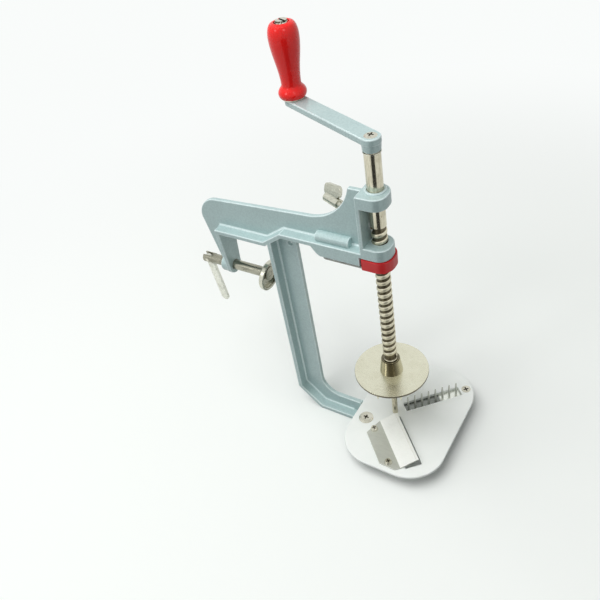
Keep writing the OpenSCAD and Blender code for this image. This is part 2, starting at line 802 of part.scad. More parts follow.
module slicing_blade() {
    bevel = 2.5;
    slope = blade_rise / ramp_w;
    color("#c4c7c0") difference() {
        intersection() {
            blade_frame(plate_z) rotate([90, 0, 90]) linear_extrude(blade_out)
                polygon([
                    [-ramp_w - land_w, 0], [-ramp_w, 0], [0, blade_rise],
                    [-bevel, blade_rise - bevel * slope + blade_t], [-ramp_w, blade_t],
                    [-ramp_w - land_w, blade_t]
                ]);
            blade_frame(plate_z - cut) linear_extrude(blade_rise + blade_t + 2 * cut)
                polygon([
                    [blade_in, cut], [blade_in, -ramp_w], [blade_in + blade_notch, -ramp_w - land_w],
                    [blade_out - blade_notch - 3, -ramp_w - land_w], [blade_out, -ramp_w - land_w / 3],
                    [blade_out, cut]
                ]);
        }
        at_blade_screws(plate_z - cut) cylinder(d = blade_screw_d + 2 * snug, h = blade_t + 2 * cut);
    }
}

module blade_screws() {
    color("#d9d6c6") at_blade_screws(plate_z + blade_t)
        pan_screw(pan_head_d, pan_head_h, blade_screw_d, blade_t + plate_t + 1.5);
}

module comb_bar() {
    bar_in = corer_nut_w / 2 + 1.5;
    bar_out = comb_screw_u + 4.5;
    color("#a9aca5") difference() {
        comb_frame(seat_z - comb_bar_t) linear_extrude(comb_bar_t)
            translate([-bar_in, -comb_bar_w / 2]) square([bar_out + bar_in, comb_bar_w]);
        translate([0, 0, seat_z - comb_bar_t - cut])
            cylinder(d = corer_stem_d + 2 * snug, h = comb_bar_t + 2 * cut);
        comb_frame(seat_z - comb_bar_t - cut) translate([comb_screw_u, 0, 0])
            cylinder(d = comb_screw_d + 2 * snug, h = comb_bar_t + 2 * cut);
    }
}

module comb_teeth() {
    shoulder = 0.6;
    color("#b9bcb4") for (i = [0 : tooth_count - 1])
        comb_frame(seat_z) translate([tooth_first + i * tooth_pitch - tooth_t / 2, 0, 0])
            rotate([90, 0, 90]) linear_extrude(tooth_t)
                polygon([
                    [-tooth_w / 2, 0], [tooth_w / 2, 0], [tooth_w / 2, shoulder * (plate_t + tooth_h)],
                    [0, plate_t + tooth_h], [-tooth_w / 2, shoulder * (plate_t + tooth_h)]
                ]);
}

module comb_screw() {
    color("#d9d6c6") comb_frame(plate_z) translate([comb_screw_u, 0, 0])
        countersunk(comb_head_d, comb_screw_d, plate_t + comb_bar_t + 2);
}

module corer() {
    color("#cfccb4") {
        difference() {
            translate([0, 0, plate_z]) cylinder(d = corer_d, h = corer_h);
            translate([0, 0, plate_z + corer_floor]) cylinder(d = corer_bore_d, h = corer_h);
        }
        translate([0, 0, seat_z - comb_bar_t - corer_nut_h])
            cylinder(d = corer_stem_d, h = plate_t + comb_bar_t + corer_nut_h);
    }
}

module corer_nut() {
    color("#d9d6c6") translate([0, 0, seat_z - comb_bar_t - corer_nut_h]) difference() {
        cylinder(d = corer_nut_w / cos(30), h = corer_nut_h, $fn = 6);
        translate([0, 0, -cut]) cylinder(d = corer_stem_d + 2 * snug, h = corer_nut_h + 2 * cut);
    }
}

// Slot round the spindle that lets the lever swing towards +Y
module swing_slot(z, h) {
    translate([0, 0, z]) linear_extrude(h) {
        for (y = [0, -cap_slot_l]) translate([0, y]) circle(cap_slot_r);
        translate([-cap_slot_r, -cap_slot_l]) square([2 * cap_slot_r, cap_slot_l]);
    }
}

// Arm of the lever that passes in front of the spindle under the cap
module strip_arm(z, h, grow) {
    translate([0, 0, z]) linear_extrude(h)
        rounded([-strip_back / 2, -strip_edge - grow], [arm_front + grow, arm_w - strip_edge + grow],
            arm_w / 2);
}

module at_rivets(z) {
    for (x = [-rivet_x, rivet_x]) translate([x, -rivet_y, z]) children();
}

module release_lever() {
    color("#c9c7b8") difference() {
        union() {
            translate([0, 0, strip_z]) linear_extrude(strip_t)
                rounded([-strip_back, -strip_edge], [-strip_end, strip_edge - 2 * cast_y], 5);
            strip_arm(strip_z, strip_t, 0);
        }
        swing_slot(strip_z - cut, strip_t + 2 * cut);
        translate([-pivot_x, -cast_y, strip_z - cut]) cylinder(d = pivot_d + 2 * fit, h = strip_t + 2 * cut);
        at_rivets(strip_z - cut) cylinder(d = rivet_d + 2 * snug, h = strip_t + 2 * cut);
    }
}

module nut_cap() {
    color("#b02424") difference() {
        translate([0, 0, strip_z]) linear_extrude(cap_top_z - strip_z)
            nosed(cap_back, cap_front, cap_edge, cap_rear, min(lug_r + 1, cap_front - 1));
        strip_arm(strip_z - cut, strip_t + cut + snug, snug);
        swing_slot(strip_z - cut, cap_top_z - strip_z + 2 * cut);
        translate([0, 0, strip_z - cut]) intersection() {
            cylinder(r = half_nut_r + half_nut_wall + snug, h = cap_top_z - strip_z - 1 + cut);
            translate([-cap_front, -snug, 0]) cube(2 * cap_front);
        }
        at_rivets(strip_z) cylinder(d = rivet_d + 2 * snug, h = 6);
    }
}

module half_nut() {
    color("#b8974e") translate([0, 0, strip_z]) intersection() {
        difference() {
            cylinder(r = half_nut_r + half_nut_wall, h = cap_top_z - strip_z - 1.2);
            translate([0, 0, -cut]) cylinder(r = half_nut_r, h = cap_top_z - strip_z + 2 * cut);
        }
        translate([-cap_front, 0, 0]) cube(2 * cap_front);
    }
}

module cap_rivets() {
    color("#d9d6c6") at_rivets(strip_z) {
        cylinder(d = rivet_d, h = 5.5);
        translate([0, 0, -rivet_head_h])
            cylinder(d1 = 0.7 * rivet_head_d, d2 = rivet_head_d, h = rivet_head_h);
    }
}

module lever_screw() {
    color("#d9d6c6") translate([-pivot_x, -cast_y, strip_z - room]) {
        difference() {
            translate([0, 0, -lever_head_h])
                cylinder(d1 = 0.8 * lever_head_d, d2 = lever_head_d, h = lever_head_h);
            translate([0, 0, -lever_head_h]) mirror([0, 0, 1]) cross_recess(0.5 * lever_head_d, 1.2);
        }
        cylinder(d = pivot_d, h = room + strip_t + strip_gap + lever_reach);
    }
}

// Places on the clamp screw's axis
module clamp_axis() {
    translate([0, -cast_y, clamp_z]) rotate([handle_turn, 0, 0]) children();
}

module clamp_screw() {
    color("#bdbcab") clamp_axis() difference() {
        union() {
            rod_x(shoulder_x - cut, ring_x + ring_t - shoulder_x + cut, stem_d);
            rod_x(-handle_x + fork_in, shoulder_x + handle_x - fork_in, clamp_d);
            rod_x(-handle_x - fork_out, fork_out + fork_in, fork_d);
        }
        translate([-handle_x - fork_out - cut, -fork_slot / 2, -fork_d])
            cube([fork_out + fork_in + cut - 1, fork_slot, 2 * fork_d]);
        translate([-handle_x, fork_d, 0]) rotate([90, 0, 0])
            cylinder(d = handle_pin_d + 2 * snug, h = 2 * fork_d);
    }
}

// Turned about the clamp screw's axis, drawn from its face at y = 0 back to its web
module pad_outline() {
    pad_r = pad_d / 2;
    back = pad_rim + pad_web;
    polygon([
        [pad_hole_d / 2, pad_rim], [pad_r - pad_rim_w, pad_rim], [pad_r - pad_rim_w, 0], [pad_r, 0],
        [pad_r, back - pad_bevel], [pad_r - pad_bevel, back], [pad_hole_d / 2, back]
    ]);
}

module clamp_pad() {
    color("#b9b8a8") translate([-pad_x, -cast_y, clamp_z - pad_hang]) rotate([0, pad_droop, 0])
        translate([pad_x - pad_face_x, 0, 0]) rotate([0, -90, 0]) rotate_extrude() pad_outline();
}

module pad_ring() {
    color("#7c7b70") clamp_axis() difference() {
        rod_x(ring_x, ring_t, ring_d);
        rod_x(ring_x - cut, ring_t + 2 * cut, stem_d + 2 * fit);
    }
}

module clamp_handle() {
    color("#c6c6ba") clamp_axis() translate([-handle_x, handle_t / 2, 0]) rotate([90, 0, 0]) difference() {
        translate([0, handle_w / 2 - handle_l / 2, 0]) linear_extrude(handle_t)
            rotate(90) stadium(handle_l - handle_w, handle_w);
        translate([0, 0, -cut]) cylinder(d = handle_pin_d + 2 * fit, h = handle_t + 2 * cut);
    }
}

module handle_rivet() {
    color("#d9d6c6") clamp_axis() translate([-handle_x, fork_d / 2 - 0.4, 0]) rotate([90, 0, 0])
        cylinder(d = handle_pin_d, h = fork_d - 0.8);
}

module lock_axis() {
    rotate(lock_angle) translate([0, 0, lock_z]) rotate([wing_turn, 0, 0]) children();
}

module wing_screw() {
    hub_start = lock_reach - wing_hub_in;
    color("#c3c0ae") lock_axis() {
        rod_x(lock_tip, hub_start - lock_tip, lock_d);
        rod_x(hub_start, wing_hub_in + wing_hub_out, wing_hub_d);
        translate([lock_reach, wing_t / 2, 0]) rotate([90, 0, 0]) linear_extrude(wing_t)
            translate([0, wing_low + wing_h / 2]) rotate(-wing_lean)
                rounded([-wing_half, -wing_h / 2], [wing_half, wing_h / 2], wing_r);
    }
}

module lock_plug() {
    color("#b8974e") lock_axis() rod_x(spindle_r + plug_gap, plug_l, lock_d);
}

frame();
spindle();
crank_arm();
crank_screw();
crank_washer();
grip();
grip_bolt();
grip_washer();
pusher_disc();
disc_hub();
disc_screw();
prongs();
blade_plate();
plate_screws();
screw_cups();
slicing_blade();
blade_screws();
comb_bar();
comb_teeth();
comb_screw();
corer();
corer_nut();
release_lever();
nut_cap();
half_nut();
cap_rivets();
lever_screw();
clamp_screw();
clamp_pad();
pad_ring();
clamp_handle();
handle_rivet();
wing_screw();
lock_plug();
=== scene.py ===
import math

import bmesh
import bpy
from mathutils import Matrix, Vector


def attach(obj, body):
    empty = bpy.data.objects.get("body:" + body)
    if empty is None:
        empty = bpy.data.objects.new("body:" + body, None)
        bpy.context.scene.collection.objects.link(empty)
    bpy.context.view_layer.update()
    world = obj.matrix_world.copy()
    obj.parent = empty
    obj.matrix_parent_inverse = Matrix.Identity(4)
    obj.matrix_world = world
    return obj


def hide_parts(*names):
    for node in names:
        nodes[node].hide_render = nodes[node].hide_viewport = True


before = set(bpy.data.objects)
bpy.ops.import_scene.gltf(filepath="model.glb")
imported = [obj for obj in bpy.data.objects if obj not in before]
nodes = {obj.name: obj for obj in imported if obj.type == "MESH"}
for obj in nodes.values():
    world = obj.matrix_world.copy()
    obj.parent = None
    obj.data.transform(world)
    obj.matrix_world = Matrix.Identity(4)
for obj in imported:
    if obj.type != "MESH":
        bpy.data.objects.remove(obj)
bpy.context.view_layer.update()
mm = 0.001
print("frame loaded:", len(nodes), "nodes")


# colours are written as screen values
def fromScreen(red, green, blue):
    channels = []
    for value in (red, green, blue):
        share = value / 255
        channels.append(share / 12.92 if share <= 0.04045 else ((share + 0.055) / 1.055) ** 2.4)
    return (*channels, 1.0)


def addObject(name, data):
    thing = bpy.data.objects.new(name, data)
    bpy.context.scene.collection.objects.link(thing)
    return thing


def takeMesh(name, bm):
    mesh = bpy.data.meshes.new(name)
    bm.to_mesh(mesh)
    bm.free()
    return mesh


def addNode(tree, kind, settings=None, sockets=None):
    node = tree.nodes.new(kind)
    for name, value in (settings or {}).items():
        setattr(node, name, value)
    for name, value in (sockets or {}).items():
        node.inputs[name].default_value = value
    return node


def wire(tree, *pairs):
    for start, end in pairs:
        tree.links.new(start, end)


# the Mix node has one set of sockets for each kind of data, told apart by number
colourMix = {"first": 6, "second": 7, "result": 2}
vectorMix = {"first": 4, "second": 5, "result": 1}


def mixColour(tree, first, second, share):
    node = addNode(tree, "ShaderNodeMix", {"data_type": "RGBA"})
    tree.links.new(share, node.inputs[0])
    for end, source in (("first", first), ("second", second)):
        socket = node.inputs[colourMix[end]]
        if isinstance(source, tuple):
            socket.default_value = source
        else:
            tree.links.new(source, socket)
    return node.outputs[colourMix["result"]]


def addNoise(tree, place, sockets):
    noise = addNode(tree, "ShaderNodeTexNoise", None, sockets)
    tree.links.new(place, noise.inputs["Vector"])
    return noise


def toneOf(tree, source, low, high, newLow, newHigh):
    node = addNode(tree, "ShaderNodeMapRange", None, {
        "From Min": low, "From Max": high, "To Min": newLow, "To Max": newHigh})
    tree.links.new(source, node.inputs["Value"])
    return node.outputs["Result"]


def noiseTone(tree, place, sockets, spread):
    return toneOf(tree, addNoise(tree, place, sockets).outputs["Fac"], *spread)


def addSum(tree, first, second, clamp=False):
    node = addNode(tree, "ShaderNodeMath", {"operation": "ADD", "use_clamp": clamp})
    wire(tree, (first, node.inputs[0]), (second, node.inputs[1]))
    return node.outputs[0]


floatSocket, colourSocket, vectorSocket = "NodeSocketFloat", "NodeSocketColor", "NodeSocketVector"
patternOutputs = {"Color": colourSocket, "Height": floatSocket, "Roughness": floatSocket}


# every group puts out a colour, a height and a roughness
def openGroup(name, inputs):
    group = bpy.data.node_groups.new(name, "ShaderNodeTree")
    for socketName, (kind, value) in inputs.items():
        socket = group.interface.new_socket(socketName, in_out="INPUT", socket_type=kind)
        socket.default_value = value
    for socketName, kind in patternOutputs.items():
        group.interface.new_socket(socketName, in_out="OUTPUT", socket_type=kind)
    place = addNode(group, "ShaderNodeTexCoord").outputs["Object"]
    return group, place, group.nodes.new("NodeGroupInput"), group.nodes.new("NodeGroupOutput")


# the share of wear sets colour and roughness between the group's two ends
def closeWear(group, inlet, outlet, fresh, worn, share, height):
    tint = mixColour(group, inlet.outputs[fresh], inlet.outputs[worn], share)
    gloss = addNode(group, "ShaderNodeMapRange")
    wire(group,
         (share, gloss.inputs["Value"]),
         (inlet.outputs["Smooth"], gloss.inputs["To Min"]),
         (inlet.outputs["Rough"], gloss.inputs["To Max"]),
         (tint, outlet.inputs["Color"]),
         (height, outlet.inputs["Height"]),
         (gloss.outputs["Result"], outlet.inputs["Roughness"]))
    return group


# hammer-tone lacquer: round dimples that run into each other, lighter in their middles
hammerTone = {"sway": {"Scale": 260.0, "Detail": 1.0}, "swayShare": 0.0016, "smoothness": 0.55,
              "drift": {"Scale": 30.0, "Detail": 3.0}, "fleck": {"Scale": 1500.0, "Detail": 2.0},
              "domeTone": (0.15, 0.75, 0.72, 0.28), "driftTone": (0.3, 0.7, -0.16, 0.16),
              "fleckTone": (0.35, 0.7, -0.12, 0.16), "gloss": (0.0, 1.0, 0.4, 0.28)}


def makeHammerGroup(s):
    group, place, inlet, outlet = openGroup("hammerTone", {
        "Cell Scale": (floatSocket, 420.0), "Dark": (colourSocket, (0.2, 0.3, 0.3, 1)),
        "Light": (colourSocket, (0.5, 0.6, 0.6, 1))})
    sway = addNoise(group, place, s["sway"])
    bend = addNode(group, "ShaderNodeMix", {"data_type": "VECTOR"}, {0: s["swayShare"]})
    cells = addNode(group, "ShaderNodeTexVoronoi", {"feature": "SMOOTH_F1"},
                    {"Smoothness": s["smoothness"]})
    wire(group,
         (place, bend.inputs[vectorMix["first"]]),
         (sway.outputs["Color"], bend.inputs[vectorMix["second"]]),
         (bend.outputs[vectorMix["result"]], cells.inputs["Vector"]),
         (inlet.outputs["Cell Scale"], cells.inputs["Scale"]))
    dome = toneOf(group, cells.outputs["Distance"], *s["domeTone"])
    drift = noiseTone(group, place, s["drift"], s["driftTone"])
    fleck = noiseTone(group, place, s["fleck"], s["fleckTone"])
    share = addSum(group, addSum(group, dome, drift), fleck, clamp=True)
    tint = mixColour(group, inlet.outputs["Dark"], inlet.outputs["Light"], share)
    wire(group,
         (tint, outlet.inputs["Color"]),
         (dome, outlet.inputs["Height"]),
         (toneOf(group, share, *s["gloss"]), outlet.inputs["Roughness"]))
    return group


# worn plating: drawn lines along one direction, cloudy patches and a few dull specks
wornPlating = {"line": {"Detail": 3.0}, "cloud": {"Scale": 70.0, "Detail": 4.0, "Roughness": 0.6},
               "speck": {"Scale": 480.0, "Detail": 2.0}, "lineTone": (0.3, 0.7, 0.0, 0.45),
               "cloudTone": (0.45, 0.75, 0.0, 0.5), "speckTone": (0.66, 0.78, 0.0, 0.6)}


def makePlatingGroup(s):
    group, place, inlet, outlet = openGroup("wornPlating", {
        "Stretch": (vectorSocket, (1.0, 1.0, 1.0)), "Line Scale": (floatSocket, 900.0),
        "Bright": (colourSocket, (0.8, 0.8, 0.7, 1)), "Dull": (colourSocket, (0.4, 0.4, 0.3, 1)),
        "Smooth": (floatSocket, 0.2), "Rough": (floatSocket, 0.4)})
    pull = addNode(group, "ShaderNodeVectorMath", {"operation": "MULTIPLY"})
    lines = addNoise(group, pull.outputs[0], s["line"])
    wire(group,
         (place, pull.inputs[0]), (inlet.outputs["Stretch"], pull.inputs[1]),
         (inlet.outputs["Line Scale"], lines.inputs["Scale"]))
    line = toneOf(group, lines.outputs["Fac"], *s["lineTone"])
    cloud = noiseTone(group, place, s["cloud"], s["cloudTone"])
    speck = noiseTone(group, place, s["speck"], s["speckTone"])
    share = addSum(group, addSum(group, line, cloud), speck, clamp=True)
    return closeWear(group, inlet, outlet, "Bright", "Dull", share, lines.outputs["Fac"])


# moulded plastic and lacquer: slow colour drift, fine skin, small handling marks
mouldedSkin = {"skin": {"Detail": 2.0}, "drift": {"Scale": 55.0, "Detail": 3.0},
               "mark": {"Scale": 240.0, "Detail": 5.0, "Roughness": 0.7},
               "driftTone": (0.35, 0.7, 0.0, 0.7), "markTone": (0.6, 0.75, 0.0, 0.4)}


def makeMouldedGroup(s):
    group, place, inlet, outlet = openGroup("mouldedSkin", {
        "Skin Scale": (floatSocket, 900.0), "Clean": (colourSocket, (0.8, 0.1, 0.1, 1)),
        "Handled": (colourSocket, (0.6, 0.05, 0.05, 1)), "Smooth": (floatSocket, 0.2),
        "Rough": (floatSocket, 0.35)})
    skin = addNoise(group, place, s["skin"])
    wire(group, (inlet.outputs["Skin Scale"], skin.inputs["Scale"]))
    drift = noiseTone(group, place, s["drift"], s["driftTone"])
    mark = noiseTone(group, place, s["mark"], s["markTone"])
    share = addSum(group, drift, mark, clamp=True)
    return closeWear(group, inlet, outlet, "Clean", "Handled", share, skin.outputs["Fac"])


hammerGroup = makeHammerGroup(hammerTone)
platingGroup = makePlatingGroup(wornPlating)
mouldedGroup = makeMouldedGroup(mouldedSkin)


def plainMaterial(name, shaderValues):
    material = bpy.data.materials.new(name)
    material.use_nodes = True
    shader = material.node_tree.nodes["Principled BSDF"]
    for socketName, value in shaderValues.items():
        shader.inputs[socketName].default_value = value
    return material, material.node_tree, shader


def finishMaterial(name, group, groupValues, shaderValues, bumpStrength, bumpDepth):
    material, tree, shader = plainMaterial(name, shaderValues)
    pattern = addNode(tree, "ShaderNodeGroup", {"node_tree": group}, groupValues)
    bump = addNode(tree, "ShaderNodeBump", None, {"Strength": bumpStrength, "Distance": bumpDepth})
    wire(tree,
         (pattern.outputs["Color"], shader.inputs["Base Color"]),
         (pattern.outputs["Roughness"], shader.inputs["Roughness"]),
         (pattern.outputs["Height"], bump.inputs["Height"]),
         (bump.outputs["Normal"], shader.inputs["Normal"]))
    return material


def paintMaterial(name, dark, light, coat, coatRough, bumpStrength, bumpDepth):
    return finishMaterial(
        name, hammerGroup,
        {"Cell Scale": 620.0, "Dark": fromScreen(*dark), "Light": fromScreen(*light)},
        {"Metallic": 0.1, "Coat Weight": coat, "Coat Roughness": coatRough},
        bumpStrength, bumpDepth)


def platedMaterial(name, bright, dull, smooth, rough, stretch, lineScale, bumpDepth,
                   bumpStrength=0.35, metallic=1.0):
    return finishMaterial(
        name, platingGroup,
        {"Bright": fromScreen(*bright), "Dull": fromScreen(*dull), "Smooth": smooth,
         "Rough": rough, "Stretch": stretch, "Line Scale": lineScale},
        {"Metallic": metallic}, bumpStrength, bumpDepth)


def mouldedMaterial(name, clean, handled, smooth, rough, skinScale, bumpStrength, bumpDepth,
                    shaderValues):
    return finishMaterial(
        name, mouldedGroup,
        {"Clean": fromScreen(*clean), "Handled": fromScreen(*handled), "Smooth": smooth,
         "Rough": rough, "Skin Scale": skinScale},
        shaderValues, bumpStrength, bumpDepth)


hammerPaint = paintMaterial(
    "hammerPaint", dark=(170, 193, 193), light=(192, 215, 214), coat=0.35, coatRough=0.16,
    bumpStrength=0.25, bumpDepth=0.00005)
# painted highlight: a lighter copy of the hammer-tone paint for rounded edges and the middles of
# fillets
highlightPaint = paintMaterial(
    "highlightPaint", dark=(200, 220, 220), light=(226, 242, 242), coat=0.5, coatRough=0.12,
    bumpStrength=0.2, bumpDepth=0.00004)
nickelRod = platedMaterial(
    "nickelRod", bright=(226, 220, 200), dull=(158, 150, 126), smooth=0.14, rough=0.3,
    stretch=(1.0, 1.0, 0.06), lineScale=1400.0, bumpDepth=0.00002)
nickelThread = platedMaterial(
    "nickelThread", bright=(224, 218, 196), dull=(184, 176, 152), smooth=0.36, rough=0.5,
    stretch=(1.0, 1.0, 0.3), lineScale=1200.0, bumpDepth=0.00001)
nickelHub = platedMaterial(
    "nickelHub", bright=(208, 203, 182), dull=(186, 180, 158), smooth=0.14, rough=0.2,
    stretch=(1.0, 1.0, 0.2), lineScale=1200.0, bumpDepth=0.000002)
shadedGroove = platedMaterial(
    "shadedGroove", bright=(122, 114, 94), dull=(50, 46, 38), smooth=0.34, rough=0.55,
    stretch=(1.0, 1.0, 0.3), lineScale=900.0, bumpDepth=0.00003)
shadedRecess = platedMaterial(
    "shadedRecess", bright=(104, 98, 84), dull=(46, 42, 36), smooth=0.4, rough=0.6,
    stretch=(1.0, 1.0, 1.0), lineScale=1100.0, bumpDepth=0.00002)
nickelDisc = platedMaterial(
    "nickelDisc", bright=(226, 224, 204), dull=(210, 206, 184), smooth=0.24, rough=0.32,
    stretch=(0.25, 1.0, 1.0), lineScale=900.0, bumpDepth=0.000001)
nickelClamp = platedMaterial(
    "nickelClamp", bright=(222, 221, 206), dull=(158, 157, 144), smooth=0.2, rough=0.4,
    stretch=(0.08, 1.0, 1.0), lineScale=1100.0, bumpDepth=0.00003)
clampRod = platedMaterial(
    "clampRod", bright=(178, 176, 160), dull=(96, 95, 84), smooth=0.2, rough=0.36,
    stretch=(0.08, 1.0, 1.0), lineScale=1100.0, bumpDepth=0.00003)
clampZinc = platedMaterial(
    "clampZinc", bright=(240, 240, 230), dull=(160, 160, 148), smooth=0.28, rough=0.5,
    stretch=(1.0, 1.0, 1.0), lineScale=700.0, bumpDepth=0.00003)
zincScrew = platedMaterial(
    "zincScrew", bright=(228, 225, 212), dull=(164, 160, 142), smooth=0.2, rough=0.4,
    stretch=(1.0, 1.0, 1.0), lineScale=1300.0, bumpDepth=0.00002)
bladeSheet = platedMaterial(
    "bladeSheet", bright=(204, 206, 198), dull=(188, 190, 181), smooth=0.38, rough=0.5,
    stretch=(0.1, 1.0, 1.0), lineScale=1500.0, bumpDepth=0.000006, bumpStrength=0.3, metallic=0.6)
# painted highlight: a much lighter copy of the blade's sheet finish, for its raised ramp
bladeFlankHighlight = platedMaterial(
    "bladeFlankHighlight", bright=(248, 249, 244), dull=(236, 237, 231), smooth=0.34, rough=0.46,
    stretch=(0.1, 1.0, 1.0), lineScale=1500.0, bumpDepth=0.000006, bumpStrength=0.3, metallic=0.25)
# painted shade: a dark steel for the lever strip, which lies in shade under the block
shadedStripSteel = platedMaterial(
    "shadedStripSteel", bright=(146, 149, 145), dull=(96, 98, 95), smooth=0.16, rough=0.34,
    stretch=(0.15, 1.0, 1.0), lineScale=1300.0, bumpDepth=0.00002)
# painted shade: the comb bar, which lies in shade under the plate's slot, is given a dark steel
shadedCombBar = platedMaterial(
    "shadedCombBar", bright=(128, 131, 126), dull=(88, 90, 86), smooth=0.2, rough=0.36,
    stretch=(0.15, 1.0, 1.0), lineScale=1300.0, bumpDepth=0.00001)
plainBrass = platedMaterial(
    "plainBrass", bright=(206, 176, 110), dull=(128, 98, 48), smooth=0.28, rough=0.45,
    stretch=(1.0, 1.0, 1.0), lineScale=900.0, bumpDepth=0.00002)
redLacquer = mouldedMaterial(
    "redLacquer", clean=(255, 22, 16), handled=(244, 16, 12), smooth=0.24, rough=0.34,
    skinScale=160.0, bumpStrength=0.15, bumpDepth=0.00004,
    shaderValues={"Specular IOR Level": 0.42, "Coat Weight": 0.12, "Coat Roughness": 0.06})
redPlastic = mouldedMaterial(
    "redPlastic", clean=(222, 42, 46), handled=(204, 34, 38), smooth=0.34, rough=0.5,
    skinScale=1400.0, bumpStrength=0.3, bumpDepth=0.00004, shaderValues={})
whitePlastic = mouldedMaterial(
    "whitePlastic", clean=(248, 252, 248), handled=(242, 247, 242), smooth=0.36, rough=0.5,
    skinScale=1100.0, bumpStrength=0.25, bumpDepth=0.00003,
    shaderValues={"Subsurface Weight": 0.2, "Subsurface Radius": (1.0, 1.0, 1.0),
                  "Subsurface Scale": 0.004})


# lays a second colour over a finish, by a share from 0 to 1
def tintOver(material, share, colour):
    tree = material.node_tree
    base = tree.nodes["Principled BSDF"].inputs["Base Color"]
    wire(tree, (mixColour(tree, base.links[0].from_socket, colour, share), base))


# a finish that changes along one direction of the piece
def gradeMaterial(material, direction, start, end, colour):
    tree = material.node_tree
    place = addNode(tree, "ShaderNodeTexCoord")
    along = addNode(tree, "ShaderNodeVectorMath", {"operation": "DOT_PRODUCT"}, {1: direction})
    wire(tree, (place.outputs["Object"], along.inputs[0]))
    tintOver(material, toneOf(tree, along.outputs["Value"], start, end, 0.0, 1.0), colour)


# painted reflection: a turned cone darkens where it faces the viewer, standing in for a dark mirror
# image
def paintReflectionByFacing(material, near, far, colour):
    tree = material.node_tree
    weight = addNode(tree, "ShaderNodeLayerWeight", None, {"Blend": 0.5})
    tintOver(material, toneOf(tree, weight.outputs["Facing"], near, far, 1.0, 0.0), colour)


# painted reflection on the hub: a dark brown tone where the cone faces the viewer
paintReflectionByFacing(nickelHub, near=0.24, far=0.5, colour=fromScreen(84, 77, 60))
# painted reflection: the comb bar turns light towards its outer end, where it would mirror the lit
# room instead of the disc above it
gradeMaterial(shadedCombBar, direction=(0.7071, 0.7071, 0.0), start=43.5 * mm, end=45.5 * mm,
              colour=fromScreen(226, 228, 220))
print("materials ready")

smoothLimit = 0.55  # faces that turn by less than about 57 degrees share their normals


# corner normals weighted by area, so that large flats stay flat beside their rounded edges
def cornerNormals(bm):
    bm.normal_update()
    bm.faces.index_update()
    areas = [face.calc_area() for face in bm.faces]
    corners = []
    for face in bm.faces:
        for loop in face.loops:
            total = Vector()
            for other in loop.vert.link_faces:
                if face.normal.dot(other.normal) > smoothLimit:
                    total += other.normal * areas[other.index]
            corners.append(total.normalized())
    return corners


# turns a bmesh into a finished piece that rides on a body
def closePiece(name, bm, materials, body, replaced):
    corners = cornerNormals(bm)
    mesh = takeMesh(name, bm)
    mesh.shade_smooth()
    mesh.normals_split_custom_set(corners)
    for material in materials:
        mesh.materials.append(material)
    piece = addObject(name, mesh)
    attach(piece, body)
    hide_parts(replaced)
    return piece


def edgeMiddle(edge):
    return (edge.verts[0].co + edge.verts[1].co) / 2


def inBox(point, low, high):
    return all(low[i] < point[i] / mm < high[i] for i in range(3))


def roundEdges(bm, edges, offset, segments):
    made = bmesh.ops.bevel(bm, geom=edges, offset=offset, offset_type="OFFSET", affect="EDGES",
                           segments=segments, profile=0.5, material=-1, clamp_overlap=False)
    return made["faces"]


outlineTest = {"upright": 0.3, "slack": 0.1 * mm}


# true where every point of the piece lies on the inner side of the edge's upright face
def onOutline(bm, edge):
    middle = edgeMiddle(edge)
    sides = [face.normal for face in edge.link_faces if abs(face.normal.z) < outlineTest["upright"]]
    return bool(sides) and all(
        (vert.co - middle).dot(sides[0]) < outlineTest["slack"] for vert in bm.verts)


# how a fillet is cut and sunk into what it joins, in mm; its middle strips take the painted
# highlight finish
coveShape = {"steps": 6, "sunk": -0.4, "lap": -0.1, "lit": (3, 4, 5)}


# a fillet along the corner between a rib's face and a flange: the path runs in X and Z, in mm,
# its free side to the left of the direction of travel
def addCove(bm, path, face, side, radius):
    points = [Vector(point) for point in path]
    normals = []
    for start, end in zip(points, points[1:]):
        along = (end - start).normalized()
        normals.append(Vector((-along.y, along.x)))
    sunk, lap, steps = coveShape["sunk"], coveShape["lap"], coveShape["steps"]
    profile = [(sunk, sunk), (lap, radius)]
    for k in range(1, steps):
        turn = math.pi / 2 * k / steps
        profile.append((radius - radius * math.cos(turn), radius - radius * math.sin(turn)))
    profile.append((radius, lap))
    rings = []
    for i, point in enumerate(points):
        before, after = normals[max(i - 1, 0)], normals[min(i, len(normals) - 1)]
        lean = (before + after) / (1 + before.dot(after))
        spots = [Vector((point.x + lean.x * off, face + side * out, point.y + lean.y * off))
                 for out, off in profile]
        rings.append([bm.verts.new(spot * mm) for spot in spots])
    made = []
    for first, second in zip(rings, rings[1:]):
        for k in range(len(first)):
            quad = bm.faces.new((first[k - 1], first[k], second[k], second[k - 1]))
            # painted highlight along the middle strips of the fillet
            quad.material_index = 1 if k in coveShape["lit"] else 0
            made.append(quad)
    made += [bm.faces.new(rings[0]), bm.faces.new(rings[-1][::-1])]
    bmesh.ops.recalc_face_normals(bm, faces=made)


# how a copied mesh is cleaned, in metres and degrees, and which edges then count as hard
cleanUp = {"merge": 2e-6, "sliver": 1e-5, "cut": 1e-6, "flat": 0.4}
hardEdge = {"least": 28, "most": 150, "segments": 2, "rimSegments": 3}
# a recess starts this far under the head's top and ends this far under its floor, in mm
recessTest = {"under": 0.06, "past": 0.1}
hollowFacing = -0.3  # faces of a hollow that look further back than this are its outside


# closes a step that is too narrow to be rounded: cuts at x and joins the points of a box, in mm
def weldStep(bm, x, low, high, reach):
    bmesh.ops.bisect_plane(bm, geom=bm.verts[:] + bm.edges[:] + bm.faces[:], dist=cleanUp["cut"],
                           plane_co=(x * mm, 0, 0), plane_no=(1, 0, 0))
    near = [vert for vert in bm.verts if inBox(vert.co, low, high)]
    bmesh.ops.remove_doubles(bm, verts=near, dist=reach * mm)
    bmesh.ops.dissolve_degenerate(bm, dist=cleanUp["sliver"], edges=bm.edges)


